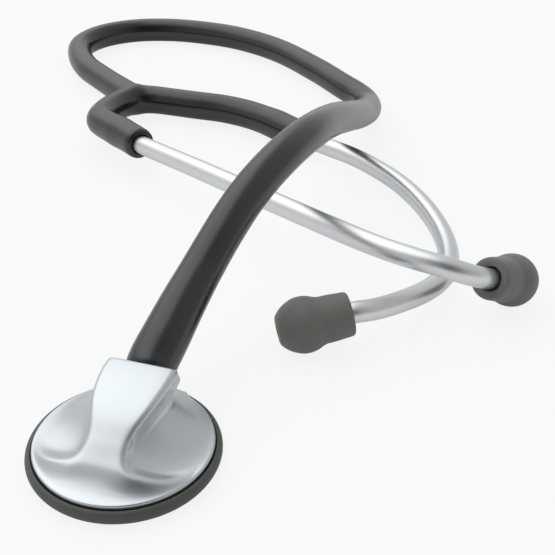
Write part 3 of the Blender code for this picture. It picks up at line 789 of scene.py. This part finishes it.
def dress_rim(finish):
    """The soft ring, rounded outside, with its lip over the diaphragm."""
    outside = rounded([(20.9, 0.0), (21.7, 0.2), (22.5, 1.0), (22.97, 2.1), (22.88, 3.1), (22.5, 3.8),
                       (22.1, 4.06)], 6)
    profile = [(18.6, 0.08), (18.7, 0.0)] + outside + [
        (21.75, 4.1), (21.62, 3.95), (21.6, 3.1), (20.6, 2.7), (20.6, 0.5), (18.75, 0.5), (18.6, 0.42)]
    piece = finished("soft_rim", turned(profile, 200), finish, "base")
    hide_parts("diaphragm_rim")


# ---------------------------------------------------------------- tubing

def dress_hose(finish):
    """The tubing from the neck to the fork, thicker where it is stretched over the stem."""
    start, axis = NECK_TURN @ STEM_AT, NECK_TURN.to_3x3() @ STEM_AXIS
    socket = Vector(YOKE_SOCKET)
    into_yoke = (Vector(YOKE_MIDDLE) - socket).normalized()
    points = [start + axis * 0.3, start + axis * 4.0]
    points += [Vector(p) for p in HOSE_ROUTE] + [socket - into_yoke * 0.3]
    route = Route(points)
    stops = [(0.0, 4.2), (0.0, 5.85), (0.12, 6.05), (0.4, 6.18), (1.2, CUFF_R), (7.0, CUFF_R),
             (12.0, CUFF_R - 0.12), (20.0, HOSE_R + 0.42), (30.0, HOSE_R + 0.1), (40.0, HOSE_R),
             (route.length, HOSE_R)]
    piece = finished("tubing", sweep(route, spaced(stops, 1.6), 56), finish, "base")
    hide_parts("main_tubing", "tubing_cuff")
    path = [(p + LAYOUT_AT) * MM for p in route.points[::4] + [route.points[-1]]]


def tubes_depth(points, tubes, melt):
    """How far points lie outside tubes that melt into each other."""
    total = 0.0
    for centres, radii in tubes:
        distances = np.linalg.norm(points[:, None, :] - centres[None, :, :], axis=2)
        nearest = distances.argmin(axis=1)
        total = total + np.exp((radii[nearest] - distances[np.arange(len(points)), nearest]) / melt)
    return -melt * np.log(total)


def dress_fork(finish):
    """The fork of the moulded tubing: three tubes melted together."""
    inlet = Route([YOKE_SOCKET, (-31.6, 214.2, 6.6), YOKE_MIDDLE])
    left, right = Route(LEFT_CROWN_ROUTE), Route(RIGHT_CROWN_ROUTE)
    outlet = [(0.0, FORK_R), (10.0, ARM_R), (FORK_REACH, ARM_R)]
    inlet_stops = [(-6.0, HOSE_R), (0.0, HOSE_R), (6.0, 5.55), (inlet.length, FORK_R)]
    tubes, working = [], []
    for route, stops in ((inlet, inlet_stops), (left, outlet), (right, outlet)):
        working.append(as_object("fork_working", sweep(route, spaced(stops, 1.0), 32)))
        distances = [distance for distance, _ in spaced(stops, 0.25)]
        centres = np.array([route.at(distance)[0] for distance in distances])
        tubes.append((centres, np.array([eased(stops, distance) for distance in distances])))
    bm = skinned(working[0], [(other, 'UNION') for other in working[1:]], FORK_VOXEL)
    settle(bm, lambda points: tubes_depth(points, tubes, FORK_MELT))
    cut_at = FORK_REACH - FORK_TRIM
    for route, distance, outward in ((inlet, -FORK_TRIM, -1), (left, cut_at, 1), (right, cut_at, 1)):
        middle, side, up = route.at(distance)
        bmesh.ops.bisect_plane(bm, geom=bm.verts[:] + bm.edges[:] + bm.faces[:], plane_co=middle,
                               plane_no=side.cross(up) * outward, clear_outer=True)
    place = bm.verts.layers.float_vector.new("tube_place")
    for vert in bm.verts:
        vert[place] = vert.co * MM
    piece = finished("tubing_fork", bm, finish, "base", sharp=180)
    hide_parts("yoke_crown")


def dress_sleeve(name, crown_points, arm_points, finish):
    """One arm of the fork, a soft sleeve with a rounded mouth."""
    arm = Route(arm_points)
    whole = Route(list(crown_points) + list(arm_points[1:]))
    lead = whole.length - arm.length
    seat, mouth = lead + (arm.length - TUBE_INSERT), lead + arm.length
    stops = [
        (ARM_START, ARM_R - 0.03), (seat - 6.0, ARM_R), (seat + 1.5, ARM_R + 0.3), (seat + 8.0, ARM_R + 0.1),
        (mouth - 2.0, ARM_R + 0.06), (mouth - 0.95, ARM_R - 0.15), (mouth - 0.3, ARM_R - 0.6),
        (mouth, ARM_R - 1.15), (mouth - 0.1, TUBE_R + 0.5), (mouth - 0.6, TUBE_R + 0.34),
        (mouth - 2.2, TUBE_R + 0.31), (mouth - 9.0, TUBE_R + 0.3),
    ]
    sleeve = finished("tubing_arm_" + name, sweep(whole, spaced(stops, 1.2), 56), finish)
    before, after = [whole.at(lead + reach)[0] + LAYOUT_AT for reach in (-BLEND_REACH, BLEND_REACH)]
    before * MM
    after * MM
    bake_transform(sleeve)
    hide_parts("yoke_arm_" + name)


def dress_ear_tube(name, arm_points, tube_points, ball_at, tip_axis, finish):
    """One bent ear tube, from its seat in the sleeve to the inside of its tip."""
    arm = Route(arm_points)
    insert_at = arm.length - TUBE_INSERT
    tube_end = ball_at - tip_axis * (TIP_LENGTH - TIP_BALL_AT - 3.6)
    approach = ball_at - tip_axis * (TIP_LENGTH - TIP_BALL_AT + 1.4)
    seated = [arm.at(insert_at + TUBE_INSERT * k / 4)[0] for k in range(5)]
    route = Route(seated + [Vector(p) for p in tube_points] + [approach, tube_end])
    stops = [(0.0, TUBE_R - 0.4), (0.3, TUBE_R), (route.length * 0.5, TUBE_R),
             (route.length - 0.2, TUBE_END_R), (route.length, TUBE_END_R - 0.2)]
    tube = finished("satin_tube_" + name, sweep(route, spaced(stops, 1.2), 48), finish, name + "_ear_tube")
    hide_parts("ear_tube_" + name)


def dress_ear_tip(name, ball_at, tip_axis, finish):
    """One soft ear tip: a bulb with a flat nose, a waist, and a skirt that is open to the tube."""
    outside = rounded([
        (3.45, 0.05), (3.95, 0.2), (5.0, 1.05), (6.25, 2.55), (7.2, 4.4), (7.7, 6.0), (7.8, 7.3), (7.66, 8.9),
        (7.22, 10.4), (6.72, 11.6), (6.5, 12.6), (6.48, 13.8), (6.4, 16.0), (6.25, 18.0), (6.15, 19.5),
        (5.95, 20.15), (5.55, TIP_LENGTH)], 8)
    profile = [(1.6, 0.35), (1.75, 0.08), (2.0, 0.0), (3.3, 0.0)] + outside + [
        (4.2, TIP_LENGTH), (3.75, 20.3), (3.5, 19.8), (3.5, 16.4), (4.9, 16.2), (4.9, 8.9), (1.6, 8.7)]
    shape = turned(profile, 96, ball_at + tip_axis * TIP_BALL_AT, -tip_axis)
    tip = finished("soft_tip_" + name, shape, finish, name + "_ear_tube")
    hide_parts("ear_tip_" + name)


def dress_side(name, crown_points, arm_points, tube_points, ball_at, tip_axis, finishes):
    """One arm of the fork with its ear tube and ear tip."""
    dress_sleeve(name, crown_points, arm_points, finishes["tubing"])
    dress_ear_tube(name, arm_points, tube_points, ball_at, tip_axis, finishes["tube"])
    dress_ear_tip(name, ball_at, tip_axis, finishes["tip"])


def dress_hidden():
    """The pieces inside keep their shapes and get their finishes."""
    spring = turned_metal("spring_steel", (0.42, 0.43, 0.45), 0.35)
    brass = turned_metal("turned_brass", (0.62, 0.48, 0.24), 0.33)
    steel = turned_metal("turned_steel", (0.72, 0.73, 0.75), 0.28)
    insert = soft_grey("hard_insert", (0.24, 0.24, 0.235, 1), (0.33, 0.33, 0.32, 1), 0.45, 1500.0)
    worn = {
        "yoke_spring": spring, "hose_stem": steel, "diaphragm": diaphragm_sheet(),
    }
    for name in ("left", "right"):
        worn["spring_tongue_" + name] = spring
        worn["tube_ferrule_" + name] = brass
        worn["ear_tip_screw_" + name] = steel
        worn["ear_tip_core_" + name] = insert
    for node, material in worn.items():
        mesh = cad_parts[node].data
        mesh.materials.clear()
        mesh.materials.append(material)


# ---------------------------------------------------------------- studio

def set_floor():
    """A plain pale floor that is nearly white to the camera and keeps a soft shadow."""
    to_camera, mirrored = 0.86, 0.3      # its plain white share for the camera, and in metal and glass
    bm = bmesh.new()
    bmesh.ops.create_grid(bm, x_segments=1, y_segments=1, size=6.0)
    bmesh.ops.translate(bm, vec=(0, 0, -0.0002), verts=bm.verts)
    mesh = bpy.data.meshes.new("floor")
    bm.to_mesh(mesh)
    bm.free()
    floor = bpy.data.objects.new("floor", mesh)
    bpy.context.scene.collection.objects.link(floor)
    finish = Finish("pale_floor", {
        "Base Color": (0.9, 0.9, 0.9, 1), "Roughness": 1.0, "Specular IOR Level": 0.0})
    path = finish.node("ShaderNodeLightPath", {}, {}).outputs
    reflected = Value(finish, path["Is Glossy Ray"]).math('MAXIMUM', path["Is Transmission Ray"])
    share = (Value(finish, path["Is Camera Ray"]) * to_camera).math('MAXIMUM', reflected * mirrored)
    white = finish.node("ShaderNodeEmission", {}, {"Color": (1, 1, 1, 1), "Strength": 1.0})
    surface = finish.node("ShaderNodeMixShader", {}, {
        0: share, 1: finish.shader.outputs[0], 2: white.outputs[0]})
    finish.feed(finish.tree.nodes["Material Output"], {"Surface": surface.outputs[0]})
    floor.data.materials.append(finish.material)


def set_light():
    """A pale studio: one wide softbox from behind to overhead on the left, and a dark camera side.

    Over runs from the far horizon (0) overhead (0.5) to the horizon behind the camera (1), and
    across runs from the left (-1) to the right (1).
    """
    room_glow, softbox_glow, shade_depth, right_fall = 0.68, 0.95, 0.64, 0.14
    shade_over, shade_tall, shade_wide = 0.81, 0.25, 0.62
    world = bpy.data.worlds.new("studio")
    bpy.context.scene.world = world
    world.use_nodes = True
    room = Nodes(world.node_tree)
    ray = room.node("ShaderNodeTexCoord", {}, {}).outputs["Generated"]
    parts = room.node("ShaderNodeSeparateXYZ", {}, {0: ray}).outputs
    across = Value(room, parts["X"])
    above = Value(room, parts["Z"]).math('MAXIMUM', 0.0)
    over = above.math('ARCTAN2', Value(room, parts["Y"])) * (1 / math.pi)
    softbox = room.ramp(over, [(0.06, 0.0), (0.2, 0.85), (0.3, 1.0), (0.52, 1.0), (0.66, 0.0)])
    softbox = softbox * room.ramp(across * 0.5 + 0.5, [(0.06, 0.0), (0.17, 1.0), (0.45, 1.0), (0.58, 0.0)])
    shade = (over * (1 / shade_tall) - shade_over / shade_tall) ** 2.0
    shade = shade + (across * (1 / shade_wide) - 0.16) ** 2.0
    shade = (shade * -1.0).math('EXPONENT')
    glow = room_glow - shade_depth * shade + softbox_glow * softbox - right_fall * across.math('MAXIMUM', 0.0)
    seen = room.node("ShaderNodeLightPath", {}, {}).outputs["Is Camera Ray"]
    amount = room.node("ShaderNodeMix", {}, {0: seen, 2: glow, 3: 1.0})
    tint = room.node("ShaderNodeMix", {"data_type": 'RGBA'}, {
        0: seen, 6: (0.95, 0.98, 1.0, 1), 7: (1, 1, 1, 1)})
    room.feed(world.node_tree.nodes["Background"], {
        "Color": tint.outputs[2], "Strength": amount.outputs[0]})
    bpy.context.scene.view_settings.view_transform = 'Standard'


def main():
    set_camera()
    set_light()
    set_floor()
    tubing = black_tubing()
    finishes = {
        "tubing": tubing,
        "tube": satin_tube(),
        "tip": soft_grey("soft_tip", (0.175, 0.169, 0.153, 1), (0.225, 0.218, 0.198, 1), 0.46, 1800.0),
    }
    dress_hose(tubing)
    dress_fork(tubing)
    dress_side("left", LEFT_CROWN_ROUTE, LEFT_ARM_ROUTE, LEFT_TUBE_ROUTE, LEFT_BALL, LEFT_TIP_AXIS,
               finishes)
    dress_side("right", RIGHT_CROWN_ROUTE, RIGHT_ARM_ROUTE, RIGHT_TUBE_ROUTE, RIGHT_BALL, RIGHT_TIP_AXIS,
               finishes)
    dress_head(satin_steel())
    dress_rim(soft_grey("soft_rim", (0.09, 0.092, 0.08, 1), (0.12, 0.122, 0.107, 1), 0.5, 1500.0))
    dress_hidden()


main()
